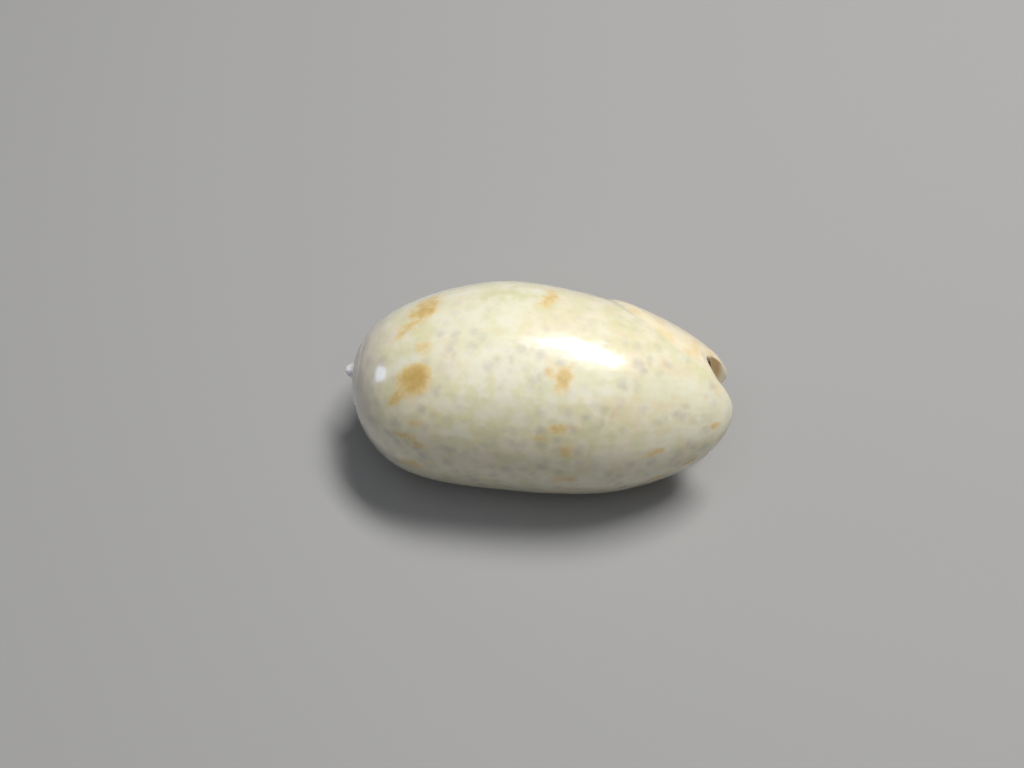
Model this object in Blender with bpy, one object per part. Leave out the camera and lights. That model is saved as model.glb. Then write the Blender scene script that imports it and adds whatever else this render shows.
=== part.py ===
"""Olive shell, a glossy sea snail shell lying on its aperture.

The shell is one solid grown around an axis. The axis runs along X, the apex
with its small nipple is at -X and the siphonal end is at +X. The outer lip is
on the -Y side, the back of the shell faces +Z, and the shell rests on its lip
and on the swelling beside the aperture. Lengths are in metres.
"""
import math

import bmesh
import bpy
import numpy as np
from mathutils import Matrix

MM = 0.001
TURN = 2.0 * math.pi

# Overall form of the body whorl
APEX_START = 0.9 * MM
WIDEST_AT_LIP = 17.4 * MM
WIDEST_AT_BACK = 16.7 * MM
FRONT_POLE = 39.5 * MM
BODY_RADIUS = 10.28 * MM
APEX_FULLNESS_LIP = 3.7
APEX_FULLNESS_BACK = 1.82
FRONT_FULLNESS_LIP = 2.44
FRONT_FULLNESS_BACK = 2.28
FRONT_TAPER = 0.062
TAPER_FROM = 26.0 * MM
TAPER_FULL_AT = 37.0 * MM
SECTION_POWER = 2.1

# Growth of the last turn, as shares of the body radius
LIP_GROWTH = 0.020
TURN_GROWTH = 0.072
GROWTH_FROM = 1.8 * MM
GROWTH_FULL_AT = 7.0 * MM

# Low swelling on the far shoulder
SHOULDER_HEIGHT = 0.42 * MM
SHOULDER_AT = 17.1 * MM
SHOULDER_SPREAD = 6.0 * MM
SHOULDER_ANGLE = math.radians(-58.0)
SHOULDER_ARC = math.radians(32.0)

# Nipple at the apex, the embryonic shell
NIPPLE_RADIUS = 0.68 * MM
NIPPLE_BLUNTNESS = 0.75
NIPPLE_SKIRT = 0.28 * MM
NIPPLE_RINGS = 5

# Channelled suture winding down the spire
SUTURE_DEPTH = 0.16 * MM
SUTURE_HALF_WIDTH = 0.22 * MM
SUTURE_TURNS = 1.9
SUTURE_AT_LIP = 1.4 * MM
SUTURE_SETTLE = 0.9 * MM
SUTURE_PITCH = 0.62 * MM
SUTURE_FROM = 0.4

# Outer lip and aperture
LIP_ANGLE = math.radians(144.0)
LIP_BACK_SWEEP = math.radians(26.0)
LIP_BACK_REACH = 3.0 * MM
LIP_FRONT_SWEEP = math.radians(20.0)
SWEEP_FROM = 20.0 * MM
SWEEP_LENGTH = 18.0 * MM
APERTURE_FROM = 1.7 * MM
MOUTH_SHORTENING = 0.08
WIDENING_FROM = 22.0 * MM
WIDENING_TO = 37.0 * MM
DIVE_AT_SUTURE = 0.14
DIVE = 0.30
DIVE_FULL_AT = 9.0 * MM
LIP_THICKNESS = 1.55 * MM
WALL_THICKNESS = 1.15 * MM
EDGE_THICKNESS = 0.55 * MM
LIP_FULL_AT = 6.0 * MM
LIP_ARC = 0.08
THINNING = 1.6 * MM
GAP_AT_SUTURE = 0.4 * MM
GAP_AT_MIDDLE = 1.9 * MM
GAP_AT_FRONT = 3.0 * MM
GAP_MIDDLE_AT = 13.0 * MM
GAP_OPENS_FROM = 19.0 * MM
GAP_OPEN_AT = 33.0 * MM
GAP_INSIDE = 1.9 * MM
CAVITY_DEPTH = 0.70
CAVITY_DEPTH_AT_SUTURE = 0.14
CAVITY_DEPTH_AT_FRONT = 0.42
CAVITY_FULL_AT = 10.0 * MM
CAVITY_SHORTENS_FROM = 24.0 * MM
CAVITY_SHORT_AT = 36.0 * MM
CORE_MINIMUM = 0.6 * MM
CORE_AT_FRONT = 1.35 * MM
CORE_NARROWS_FROM = 33.0 * MM
CORE_NARROW_AT = 37.6 * MM

# Folds on the inner lip
FOLD_FROM = 7.0 * MM
FOLD_SPACING = 1.7 * MM
FOLD_BACK_HEIGHT = 0.10 * MM
FOLD_FRONT_HEIGHT = 0.26 * MM
FOLD_ARC = 0.075
FOLD_SHIFT = 0.02
FOLD_FULL_AT = 30.0 * MM
FOLD_FADES_FROM = 35.0 * MM
FOLD_END = 36.6 * MM

# Callused band beside the siphonal end
BAND_RISE = 0.22 * MM
BAND_EDGE = 1.1 * MM
BAND_OFFSET = 6.8 * MM
BAND_REACH = 10.1 * MM
BAND_FROM = 0.30
BAND_FULL_AT = 0.38
BAND_FADES_FROM = 0.58
BAND_UNDER = 0.80

# Siphonal end
RIM_BLEND_FROM = 27.0 * MM
STATION_END = 38.0 * MM
RIM_FAR = 38.7 * MM
RIM_FAR_ANGLE = math.radians(54.0)
RIM_DROP_TO_LIP = 5.1 * MM
RIM_DROP_ARC = math.radians(90.0)
RIM_DROP_POWER = 2.0
HORN_END = 38.25 * MM
NOTCH_DEPTH = 2.85 * MM
NOTCH_ANGLE = math.radians(-20.0)
NOTCH_LIP_ARC = math.radians(26.0)
NOTCH_FAR_ARC = math.radians(20.0)
HORN_ANGLE = math.radians(-40.0)
HORN_TO_RIM_ANGLE = math.radians(20.0)
HORN_DROP = 2.0 * MM
HORN_DROPS_FROM = math.radians(-58.0)
HORN_DROPS_TO = math.radians(-150.0)
FLOOR_END = 36.0 * MM
HORN_MIDDLE = 37.5 * MM
RIM_ROUNDING = 0.25 * MM
HORN_ROUNDING = 0.35 * MM
HORN_ROUNDING_ANGLE = math.radians(-25.0)
HORN_ROUND_ANGLE = math.radians(-60.0)
ROUNDING_LENGTH = 1.3 * MM

# Attitude at rest
REST_PITCH = math.radians(0.3)
REST_ROLL = math.radians(-2.1)
REST_FLAT = 0.12 * MM

# Facets
OUTER_POINTS = 40
FLOOR_POINTS = 16
CEILING_POINTS = 16
ARC_POINTS = 3
SPIRE_RINGS = 7
SPIRE_MARGIN = 0.12 * MM
LIP_CURVE_END = 3.4 * MM
LAST_FOLD_SECTION = 36.0 * MM


def ease(start, stop, value):
    """Smooth step from 0 at start to 1 at stop."""
    share = np.clip((value - start) / (stop - start), 0.0, 1.0)
    return share * share * (3.0 - 2.0 * share)


def bell(value, spread):
    """Bell curve with height 1."""
    return np.exp(-(value / spread) ** 2)


def blend(first, second, share):
    """Mix of two values."""
    return first + (second - first) * share


def body_profile(along, back):
    """Radius of the smooth body whorl at a distance along the axis."""
    away = np.sin(math.pi * back) ** 2
    widest = blend(WIDEST_AT_LIP, WIDEST_AT_BACK, away)
    to_apex = np.clip((widest - along) / (widest - APEX_START), 0.0, 1.0)
    to_front = np.clip((along - widest) / (FRONT_POLE - widest), 0.0, 1.0)
    apex_side = to_apex ** blend(APEX_FULLNESS_LIP, APEX_FULLNESS_BACK, away)
    front_side = to_front ** blend(FRONT_FULLNESS_LIP, FRONT_FULLNESS_BACK, away)
    share = 1.0 - np.where(along < widest, apex_side, front_side)
    taper = 1.0 - FRONT_TAPER * ease(TAPER_FROM, TAPER_FULL_AT, along)
    return BODY_RADIUS * taper * np.clip(share, 0.0, 1.0) ** (1.0 / SECTION_POWER)


def lip_angle(station):
    """Angle of the outer lip around the axis, from the top towards the lip side."""
    at_apex = LIP_BACK_SWEEP * np.exp(-(station - APERTURE_FROM) / LIP_BACK_REACH)
    at_front = LIP_FRONT_SWEEP * np.clip((station - SWEEP_FROM) / SWEEP_LENGTH, 0.0, None) ** 2
    return LIP_ANGLE + at_apex - at_front


def mouth_end(station):
    """Share of a turn behind the lip at which the inner lip lies."""
    return 1.0 - MOUTH_SHORTENING * ease(WIDENING_FROM, WIDENING_TO, station)


def suture_line(back):
    """Distance along the axis of the suture, as far back as the given share of a turn."""
    start = SUTURE_AT_LIP + SUTURE_SETTLE * ease(0.02, SUTURE_FROM, back)
    return np.clip(start - SUTURE_PITCH * np.clip(back - SUTURE_FROM, 0.0, None), APEX_START, None)


def spire_relief(along, back):
    """Depth of the suture channel at a place on the spire."""
    depth = 0.0
    for turn in range(3):
        there = back + turn
        fade = ease(SUTURE_TURNS, SUTURE_TURNS - 0.6, there)
        depth = depth + fade * bell(along - suture_line(there), SUTURE_HALF_WIDTH)
    return SUTURE_DEPTH * depth * ease(APEX_START, APEX_START + 0.5 * MM, along)


def band_relief(along, back):
    """Rise of the callused band beside the siphonal end."""
    line = BAND_OFFSET + BAND_REACH / np.clip(back, 0.05, None)
    rise = ease(0.0, BAND_EDGE, along - line) - 0.35 * bell(along - line, 0.4 * BAND_EDGE)
    shown = ease(BAND_FROM, BAND_FULL_AT, back) * ease(BAND_UNDER, BAND_FADES_FROM, back)
    return BAND_RISE * rise * shown


def turn_radius(along, back, angle):
    """Outer radius before the wall dives towards the aperture."""
    growth = ease(GROWTH_FROM, GROWTH_FULL_AT, along) * (LIP_GROWTH - TURN_GROWTH * back)
    side = (angle - SHOULDER_ANGLE + math.pi) % TURN - math.pi
    swelling = bell(along - SHOULDER_AT, SHOULDER_SPREAD) * bell(side, SHOULDER_ARC)
    return body_profile(along, np.minimum(back, 1.0)) * (1.0 + growth) + SHOULDER_HEIGHT * swelling


def front_share(station):
    """Nearness to the siphonal end, from 0 to 1."""
    return ease(CORE_NARROWS_FROM, CORE_NARROW_AT, station)


def lip_gap(station):
    """Width of the aperture between the outer lip and the inner lip."""
    gap = blend(GAP_AT_SUTURE, GAP_AT_MIDDLE, ease(APERTURE_FROM, GAP_MIDDLE_AT, station))
    return blend(gap, GAP_AT_FRONT, ease(GAP_OPENS_FROM, GAP_OPEN_AT, station))


def wall_thickness(station, back):
    """Thickness of the wall, heavier at the lip and thin at both ends of it."""
    heavy = blend(LIP_THICKNESS, WALL_THICKNESS, ease(0.0, LIP_ARC, back))
    opening = ease(APERTURE_FROM - 0.5 * MM, LIP_FULL_AT, station)
    front = ease(STATION_END - THINNING, STATION_END + 0.6 * MM, station)
    return blend(blend(EDGE_THICKNESS, heavy, opening), EDGE_THICKNESS, front)


def rim_distance(angle):
    """Distance along the axis of the siphonal rim."""
    to_lip = np.clip((angle - RIM_FAR_ANGLE) / RIM_DROP_ARC, 0.0, 1.4)
    rim = RIM_FAR - RIM_DROP_TO_LIP * to_lip ** RIM_DROP_POWER
    rim = blend(HORN_END, rim, ease(HORN_ANGLE, HORN_TO_RIM_ANGLE, angle))
    rim = rim - HORN_DROP * ease(HORN_DROPS_FROM, HORN_DROPS_TO, angle)
    notch_arc = np.where(angle > NOTCH_ANGLE, NOTCH_LIP_ARC, NOTCH_FAR_ARC)
    return rim - NOTCH_DEPTH * bell(angle - NOTCH_ANGLE, notch_arc)


def along_axis(station, rim):
    """Place along the axis of a station once it's drawn back to the rim."""
    share = np.clip((station - RIM_BLEND_FROM) / (STATION_END - RIM_BLEND_FROM), 0.0, None)
    return np.where(station < RIM_BLEND_FROM, station, RIM_BLEND_FROM + share * (rim - RIM_BLEND_FROM))


def outer_wall(station, back):
    """Place along the axis, radius and angle on the outside of the shell."""
    angle = lip_angle(station) - TURN * back
    along = along_axis(station, rim_distance(angle))
    radius = turn_radius(along, back, angle)
    lip_radius = turn_radius(along, np.zeros_like(back), angle)
    end = mouth_end(station)
    inner_lip = lip_radius - wall_thickness(station, np.zeros_like(back)) - lip_gap(station)
    inner_lip = blend(inner_lip, CORE_AT_FRONT, front_share(station))
    open_share = ease(APERTURE_FROM - 0.25 * MM, APERTURE_FROM, station)
    dive_from = end - blend(DIVE_AT_SUTURE, DIVE, ease(APERTURE_FROM, DIVE_FULL_AT, station))
    dive = (turn_radius(along, end, angle) - inner_lip) * ease(dive_from, end + 0.05, back)
    radius = radius - open_share * dive
    radius = radius + band_relief(along, back) - spire_relief(along, back)
    rounding = blend(RIM_ROUNDING, HORN_ROUNDING, ease(HORN_ROUNDING_ANGLE, HORN_ROUND_ANGLE, angle))
    radius = radius - rounding * ease(STATION_END - ROUNDING_LENGTH, STATION_END, station) ** 2
    radius = radius + fold_relief(along, station, back)
    return along, radius, angle


def fold_relief(along, station, back):
    """Height of the folds on the inner lip."""
    height = blend(FOLD_BACK_HEIGHT, FOLD_FRONT_HEIGHT, ease(FOLD_FROM, FOLD_FULL_AT, along))
    wave = np.cos(TURN * (along - FOLD_FROM) / FOLD_SPACING)
    reach = bell(back - mouth_end(station) + FOLD_SHIFT, FOLD_ARC)
    ends = ease(FOLD_FROM - 1.0 * MM, FOLD_FROM + 1.0 * MM, along) * ease(FOLD_END, FOLD_FADES_FROM, along)
    return height * wave * reach * ends


def ceiling(station, back):
    """Inside face of the wall that covers the aperture."""
    along, radius, angle = outer_wall(station, back)
    return along, radius - wall_thickness(station, back), angle


def floor(station, back):
    """Wall of the inner turn below the aperture."""
    _, top_radius, angle = ceiling(station, back - 1.0)
    end = mouth_end(station)
    front = ease(WIDENING_FROM, WIDENING_TO, station)
    inside_gap = blend(lip_gap(station), GAP_INSIDE, 0.55 * ease(end, end + 0.3, back) * (1.0 - front))
    outer = outer_wall(station, np.minimum(back, 1.0))
    share = ease(end, 1.04, back)
    radius = blend(outer[1], top_radius - inside_gap, share)
    radius = np.maximum(blend(radius, CORE_AT_FRONT, front_share(station)), CORE_MINIMUM)
    rim = blend(rim_distance(lip_angle(station) - TURN * end), FLOOR_END, ease(end, end + 0.12, back))
    return along_axis(station, rim), radius, angle


def cavity_depth(station):
    """Share of a turn that the open cavity runs back from the lip."""
    depth = blend(CAVITY_DEPTH_AT_SUTURE, CAVITY_DEPTH, ease(APERTURE_FROM, CAVITY_FULL_AT, station))
    return blend(depth, CAVITY_DEPTH_AT_FRONT, ease(CAVITY_SHORTENS_FROM, CAVITY_SHORT_AT, station))


def half_round(first, last, direction, points):
    """Points on a half circle from one polar point to another, bulging around the axis."""
    along_a, radius_a, angle_a = first
    along_b, radius_b, angle_b = last
    middle = 0.5 * (radius_a + radius_b)
    half = 0.5 * (radius_b - radius_a)
    result = []
    for step in range(1, points + 1):
        turn = math.pi * step / (points + 1)
        radius = middle - half * math.cos(turn)
        share = step / (points + 1)
        side = direction * abs(half) * math.sin(turn) / middle
        result.append((blend(along_a, along_b, share), radius, blend(angle_a, angle_b, share) + side))
    return result


def to_xyz(point):
    """Axis frame to X, Y, Z with the apex at -X."""
    along, radius, angle = (float(value) for value in point)
    return (along, -radius * math.sin(angle), radius * math.cos(angle))


def closed_ring(station, points):
    """Ring around the spire, where there is no aperture yet."""
    back = np.arange(points) / points
    along, radius, angle = outer_wall(np.full(points, station), back)
    return [to_xyz(point) for point in zip(along, radius, angle)]


def open_ring(station, points, floor_points, ceiling_points, arc_points):
    """Section through the aperture: outside, floor, end of the cavity, ceiling, lip edge."""
    end = float(mouth_end(station))
    depth = float(cavity_depth(station))
    back = np.linspace(0.0, end, points)
    outside = list(zip(*outer_wall(np.full(points, station), back)))
    back = np.linspace(end, 1.0 + depth, floor_points + 1)[1:]
    below = list(zip(*floor(np.full(floor_points, station), back)))
    back = np.linspace(depth, 0.0, ceiling_points)
    above = list(zip(*ceiling(np.full(ceiling_points, station), back)))
    deep = half_round(below[-1], above[0], -1.0, arc_points)
    edge = half_round(above[-1], outside[0], 1.0, arc_points)
    return [to_xyz(point) for point in outside + below + deep + above + edge]


def nipple_rings(points, rings):
    """Dome of the nipple, from its tip to the spire."""
    result = []
    for step in range(1, rings + 1):
        turn = 0.5 * math.pi * step / rings
        along = 0.98 * APEX_START * (1.0 - math.cos(turn))
        radius = NIPPLE_RADIUS * math.sin(turn) ** NIPPLE_BLUNTNESS + NIPPLE_SKIRT * (step / rings) ** 5
        ring = []
        for index in range(points):
            angle = float(lip_angle(0.0)) - TURN * index / points
            ring.append(to_xyz((along, radius, angle)))
        result.append(ring)
    return result


def stations():
    """Places of the sections along the axis, before and after the aperture begins."""
    share = (np.arange(1, SPIRE_RINGS + 1) / SPIRE_RINGS) ** 1.5
    spire = APEX_START + share * (APERTURE_FROM - SPIRE_MARGIN - APEX_START)
    start = np.linspace(APERTURE_FROM, LIP_CURVE_END, 8)[:-1]
    shoulder = np.linspace(LIP_CURVE_END, FOLD_FROM, 6)[:-1]
    folds = np.arange(FOLD_FROM, LAST_FOLD_SECTION, 0.5 * FOLD_SPACING)
    tail = np.linspace(folds[-1], STATION_END, 5)[1:]
    return list(spire), list(start) + list(shoulder) + list(folds) + list(tail)


def bridge(mesh, first, second, closed):
    """Quads between two rows of vertices."""
    count = len(first)
    for index in range(count if closed else count - 1):
        after = (index + 1) % count
        mesh.faces.new((first[index], first[after], second[after], second[index]))


def shell_mesh():
    """Whole shell as one closed body."""
    mesh = bmesh.new()
    spire, opened = stations()
    closed = nipple_rings(OUTER_POINTS, NIPPLE_RINGS)
    closed += [closed_ring(station, OUTER_POINTS) for station in spire]
    rows = [[mesh.verts.new(point) for point in ring] for ring in closed]
    tip = mesh.verts.new((0.0, 0.0, 0.0))
    for index in range(OUTER_POINTS):
        mesh.faces.new((tip, rows[0][(index + 1) % OUTER_POINTS], rows[0][index]))
    sections = []
    for station in opened:
        ring = open_ring(station, OUTER_POINTS, FLOOR_POINTS, CEILING_POINTS, ARC_POINTS)
        sections.append([mesh.verts.new(point) for point in ring])
    for first, second in zip(rows, rows[1:]):
        bridge(mesh, second, first, True)
    bridge(mesh, sections[0][:OUTER_POINTS], rows[-1], True)
    mesh.faces.new([sections[0][0]] + sections[0][:OUTER_POINTS - 2:-1])
    for first, second in zip(sections, sections[1:]):
        bridge(mesh, second, first, True)
    close_front(mesh, sections[-1])
    return mesh


def middle_of(verts):
    """Mean place of some vertices."""
    return sum((vert.co for vert in verts), verts[0].co * 0.0) / len(verts)


def close_front(mesh, ring):
    """Rim of the siphonal end, and the end of the columella with its horn."""
    floor_from = OUTER_POINTS
    ceiling_from = floor_from + FLOOR_POINTS + ARC_POINTS
    ceiling_last = ceiling_from + CEILING_POINTS - 1
    depth = float(cavity_depth(STATION_END))
    end = float(mouth_end(STATION_END))
    split = int(round(depth / end * (OUTER_POINTS - 1)))
    edge = ring[ceiling_last + 1:]
    outside = ring[:split + 1]
    inside = ring[ceiling_from:ceiling_last + 1][::-1]
    mesh.faces.new([outside[0]] + edge[::-1] + [inside[0]])
    for index in range(split):
        low = round(index * (CEILING_POINTS - 1) / split)
        high = round((index + 1) * (CEILING_POINTS - 1) / split)
        corner = [outside[index + 1], outside[index], inside[low]]
        mesh.faces.new(corner + ([inside[high]] if high > low else []))
    core = ring[split:floor_from] + ring[floor_from:ceiling_from + 1]
    centre = middle_of(core)
    centre.x = HORN_MIDDLE
    tip = mesh.verts.new(centre)
    for first, second in zip(core, core[1:] + core[:1]):
        mesh.faces.new((second, first, tip))


def settle(mesh):
    """Turns the shell to its rest attitude and cuts the small flats it stands on."""
    turn = Matrix.Rotation(REST_ROLL, 4, "X") @ Matrix.Rotation(REST_PITCH, 4, "Y")
    bmesh.ops.transform(mesh, matrix=turn, verts=mesh.verts)
    low = min(vert.co.z for vert in mesh.verts) + REST_FLAT
    bmesh.ops.translate(mesh, vec=(0.0, 0.0, -low), verts=mesh.verts)
    parts = mesh.verts[:] + mesh.edges[:] + mesh.faces[:]
    up = (0.0, 0.0, 1.0)
    bmesh.ops.bisect_plane(mesh, geom=parts, plane_co=(0.0, 0.0, 0.0), plane_no=up, clear_inner=True)
    opened = [edge for edge in mesh.edges if edge.is_boundary]
    bmesh.ops.holes_fill(mesh, edges=opened, sides=0)
    middle = [0.5 * (min(vert.co[axis] for vert in mesh.verts) + max(vert.co[axis] for vert in mesh.verts))
              for axis in (0, 1)]
    bmesh.ops.translate(mesh, vec=(-middle[0], -middle[1], 0.0), verts=mesh.verts)
    bmesh.ops.recalc_face_normals(mesh, faces=mesh.faces)


def shell_material():
    """Cream glossy shell."""
    material = bpy.data.materials.new("shell")
    material.use_nodes = True
    surface = material.node_tree.nodes["Principled BSDF"]
    surface.inputs["Base Color"].default_value = (0.72, 0.62, 0.42, 1.0)
    surface.inputs["Roughness"].default_value = 0.22
    surface.inputs["Metallic"].default_value = 0.0
    return material


for thing in list(bpy.data.objects):
    bpy.data.objects.remove(thing, do_unlink=True)

body = shell_mesh()
settle(body)
data = bpy.data.meshes.new("olive_shell")
body.to_mesh(data)
body.free()
data.shade_smooth()
shell = bpy.data.objects.new("olive_shell", data)
shell.data.materials.append(shell_material())
bpy.context.scene.collection.objects.link(shell)
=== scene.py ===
"""Looks of the olive shell: a fine mesh grown around the shell's axis, its glossy
mottled finish, a plain pale floor and soft studio light.

The axis frame has its origin at the tip of the apex, with the distance along
the axis, the radius, and the angle around it. "Back" is the share of a turn
behind the edge of the outer lip. Lengths are in metres.
"""
import math

import bpy
import numpy as np
from mathutils import Matrix, Vector


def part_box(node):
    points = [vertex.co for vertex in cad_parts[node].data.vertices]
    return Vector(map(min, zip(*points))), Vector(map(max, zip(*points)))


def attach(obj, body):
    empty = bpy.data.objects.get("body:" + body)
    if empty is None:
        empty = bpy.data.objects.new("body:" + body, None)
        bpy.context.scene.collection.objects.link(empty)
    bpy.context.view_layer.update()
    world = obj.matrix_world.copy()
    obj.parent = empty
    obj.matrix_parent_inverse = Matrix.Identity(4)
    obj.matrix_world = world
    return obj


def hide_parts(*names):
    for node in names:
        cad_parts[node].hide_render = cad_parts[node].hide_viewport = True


MM = 0.001
TURN = 2.0 * math.pi
NODE = "olive_shell"

# Overall form of the body whorl
APEX_START = 0.9 * MM
WIDEST_AT_LIP = 17.4 * MM
WIDEST_AT_BACK = 16.7 * MM
FRONT_POLE = 39.5 * MM
BODY_RADIUS = 10.28 * MM
APEX_FULLNESS_LIP = 3.7
APEX_FULLNESS_BACK = 1.82
FRONT_FULLNESS_LIP = 2.44
FRONT_FULLNESS_BACK = 2.28
FRONT_TAPER = 0.062
TAPER_FROM = 26.0 * MM
TAPER_FULL_AT = 37.0 * MM
SECTION_POWER = 2.1

# Growth of the last turn, as shares of the body radius
LIP_GROWTH = 0.020
TURN_GROWTH = 0.072
GROWTH_FROM = 1.8 * MM
GROWTH_FULL_AT = 7.0 * MM

# Low swelling on the far shoulder
SHOULDER_HEIGHT = 0.42 * MM
SHOULDER_AT = 17.1 * MM
SHOULDER_SPREAD = 6.0 * MM
SHOULDER_ANGLE = math.radians(-58.0)
SHOULDER_ARC = math.radians(32.0)

# Nipple at the apex, the embryonic shell
NIPPLE_RADIUS = 0.68 * MM
NIPPLE_BLUNTNESS = 0.75
NIPPLE_SKIRT = 0.28 * MM
NIPPLE_SKIRT_POWER = 5
NIPPLE_END = 0.98
NIPPLE_RINGS = 24

# Channelled suture winding down the spire
SUTURE_DEPTH = 0.08 * MM
SUTURE_HALF_WIDTH = 0.20 * MM
SUTURE_TURNS = 1.9
SUTURE_AT_LIP = 1.4 * MM
SUTURE_SETTLE = 0.9 * MM
SUTURE_PITCH = 0.62 * MM
SUTURE_FROM = 0.4
SUTURE_FADE = 0.6
SUTURE_LEAVES_LIP = 0.02
SUTURE_FULL_AFTER = 0.5 * MM

# Outer lip and aperture
LIP_ANGLE = math.radians(144.0)
LIP_BACK_SWEEP = math.radians(26.0)
LIP_BACK_REACH = 3.0 * MM
LIP_FRONT_SWEEP = math.radians(20.0)
SWEEP_FROM = 20.0 * MM
SWEEP_LENGTH = 18.0 * MM
APERTURE_FROM = 1.7 * MM
MOUTH_SHORTENING = 0.08
WIDENING_FROM = 22.0 * MM
WIDENING_TO = 37.0 * MM
DIVE_AT_SUTURE = 0.14
DIVE = 0.30
DIVE_FULL_AT = 9.0 * MM
DIVE_ENDS_AFTER = 0.05
MOUTH_OPENS_OVER = 0.25 * MM
LIP_THICKNESS = 1.55 * MM
WALL_THICKNESS = 1.15 * MM
EDGE_THICKNESS = 0.55 * MM
LIP_THICKENS_FROM = 1.2 * MM
LIP_FULL_AT = 6.0 * MM
LIP_ARC = 0.08
THINNING = 1.6 * MM
THIN_AFTER = 0.6 * MM
GAP_AT_SUTURE = 0.4 * MM
GAP_AT_MIDDLE = 1.9 * MM
GAP_AT_FRONT = 3.0 * MM
GAP_MIDDLE_AT = 13.0 * MM
GAP_OPENS_FROM = 19.0 * MM
GAP_OPEN_AT = 33.0 * MM
GAP_INSIDE = 1.9 * MM
GAP_INSIDE_SHARE = 0.55
GAP_INSIDE_ARC = 0.3
FLOOR_MEETS_TURN = 1.04
CAVITY_DEPTH = 0.70
CAVITY_DEPTH_AT_SUTURE = 0.14
CAVITY_DEPTH_AT_FRONT = 0.42
CAVITY_FULL_AT = 10.0 * MM
CAVITY_SHORTENS_FROM = 24.0 * MM
CAVITY_SHORT_AT = 36.0 * MM
CORE_MINIMUM = 0.6 * MM
CORE_AT_FRONT = 1.35 * MM
CORE_NARROWS_FROM = 33.0 * MM
CORE_NARROW_AT = 37.6 * MM

# Folds on the inner lip
FOLD_FROM = 7.0 * MM
FOLD_SPACING = 1.7 * MM
FOLD_SLANT = 9.0 * MM
FOLD_BACK_HEIGHT = 0.10 * MM
FOLD_FRONT_HEIGHT = 0.26 * MM
FOLD_ARC = 0.075
FOLD_SHIFT = 0.02
FOLD_FULL_AT = 30.0 * MM
FOLD_FADES_FROM = 35.0 * MM
FOLD_END = 36.6 * MM
FOLD_FADE = 1.0 * MM

# Callused band beside the siphonal end
BAND_RISE = 0.22 * MM
BAND_EDGE = 1.6 * MM
BAND_GROOVE = 0.35
BAND_GROOVE_SHARE = 0.4
BAND_TINT_FROM = -0.5 * MM
BAND_TINT_FULL_AT = 1.1 * MM
BAND_OFFSET = 6.8 * MM
BAND_REACH = 10.1 * MM
SMALLEST_BACK = 0.05
BAND_FROM = 0.30
BAND_FULL_AT = 0.38
BAND_FADES_FROM = 0.58
BAND_UNDER = 0.80

# Siphonal end
RIM_BLEND_FROM = 27.0 * MM
STATION_END = 38.0 * MM
RIM_FAR = 38.7 * MM
RIM_FAR_ANGLE = math.radians(54.0)
RIM_DROP_TO_LIP = 5.1 * MM
RIM_DROP_ARC = math.radians(90.0)
RIM_DROP_POWER = 2.0
RIM_DROP_LIMIT = 1.4
HORN_END = 38.25 * MM
NOTCH_DEPTH = 2.85 * MM
NOTCH_ANGLE = math.radians(-15.0)
NOTCH_LIP_ARC = math.radians(26.0)
NOTCH_FAR_ARC = math.radians(24.0)
HORN_ANGLE = math.radians(-40.0)
HORN_TO_RIM_ANGLE = math.radians(20.0)
HORN_DROP = 2.0 * MM
HORN_DROPS_FROM = math.radians(-58.0)
HORN_DROPS_TO = math.radians(-150.0)
FLOOR_END = 36.0 * MM
FLOOR_END_ARC = 0.12
HORN_MIDDLE = 37.5 * MM
HORN_BACK = 0.8
HORN_RINGS = 12
HORN_RING_POWER = 1.2
HORN_RIM_SHARE = 0.05
HORN_CROWN = 0.10 * MM
HORN_CROWN_AT = 0.2
HORN_CROWN_SPREAD = 0.16
HORN_BROWN_FROM = 37.7 * MM
HORN_BROWN_FULL_AT = 37.0 * MM
RIM_ROUNDING = 0.25 * MM
HORN_ROUNDING = 0.35 * MM
HORN_ROUNDING_ANGLE = math.radians(-25.0)
HORN_ROUND_ANGLE = math.radians(-60.0)
ROUNDING_LENGTH = 1.3 * MM

# Growth lines, faint ripples along the lip's direction
GROWTH_LINE_HEIGHT = 0.012 * MM
GROWTH_LINES = (61.0, 97.0, 143.0)
GROWTH_LINE_SHIFT = 0.7
GROWTH_LINE_WAVE = 0.004
GROWTH_LINE_WAVELENGTH = 2.3 * MM
GROWTH_LINE_SWEEP = 0.010
GROWTH_LINES_FROM = 4.0 * MM
GROWTH_LINES_FULL_AT = 8.0 * MM

# Attitude at rest
REST_PITCH = math.radians(0.3)
REST_ROLL = math.radians(-2.1)

# Mesh resolution
OUTER_POINTS = 190
FLOOR_POINTS = 44
CEILING_POINTS = 40
ARC_POINTS = 7
SPIRE_RINGS = 44
STATION_STEP = 0.15 * MM
SPIRE_RING_POWER = 1.6
SPIRE_START_MARGIN = 0.015 * MM
SPIRE_END_MARGIN = 0.05 * MM
NEAR_END = 5.0 * MM
NEAR_STEP = 0.07 * MM
TAIL_LENGTH = 1.5 * MM
TAIL_STATIONS = 16

# Painted highlight: the dots fade out where the key light washes over the top, and stay faint beyond
# it, between these shares of a turn behind the lip
PAINTED_HIGHLIGHT_EDGE = (0.33, 0.46)

# Inner lip at which the outside's colours give way to the lining, in shares of a turn
LINING_BEFORE = 0.02
LINING_AFTER = 0.10

# Arc length of one turn where the shell is widest, the scale of the markings
WIDE_RADIUS = 9.6
ARC_SCALE = TURN * WIDE_RADIUS

# Photograph
PICTURE_WIDTH = 1024
PICTURE_HEIGHT = 768
LENS = 36.0
SENSOR = 36.0
CAMERA_DISTANCE = 102.85 * MM
CAMERA_ELEVATION = math.radians(58.0)
CAMERA_AZIMUTH = math.radians(6.3)
AIM_ALONG = 18.0 * MM
AIM_PIXEL = (522.2, 386.8)


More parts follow.
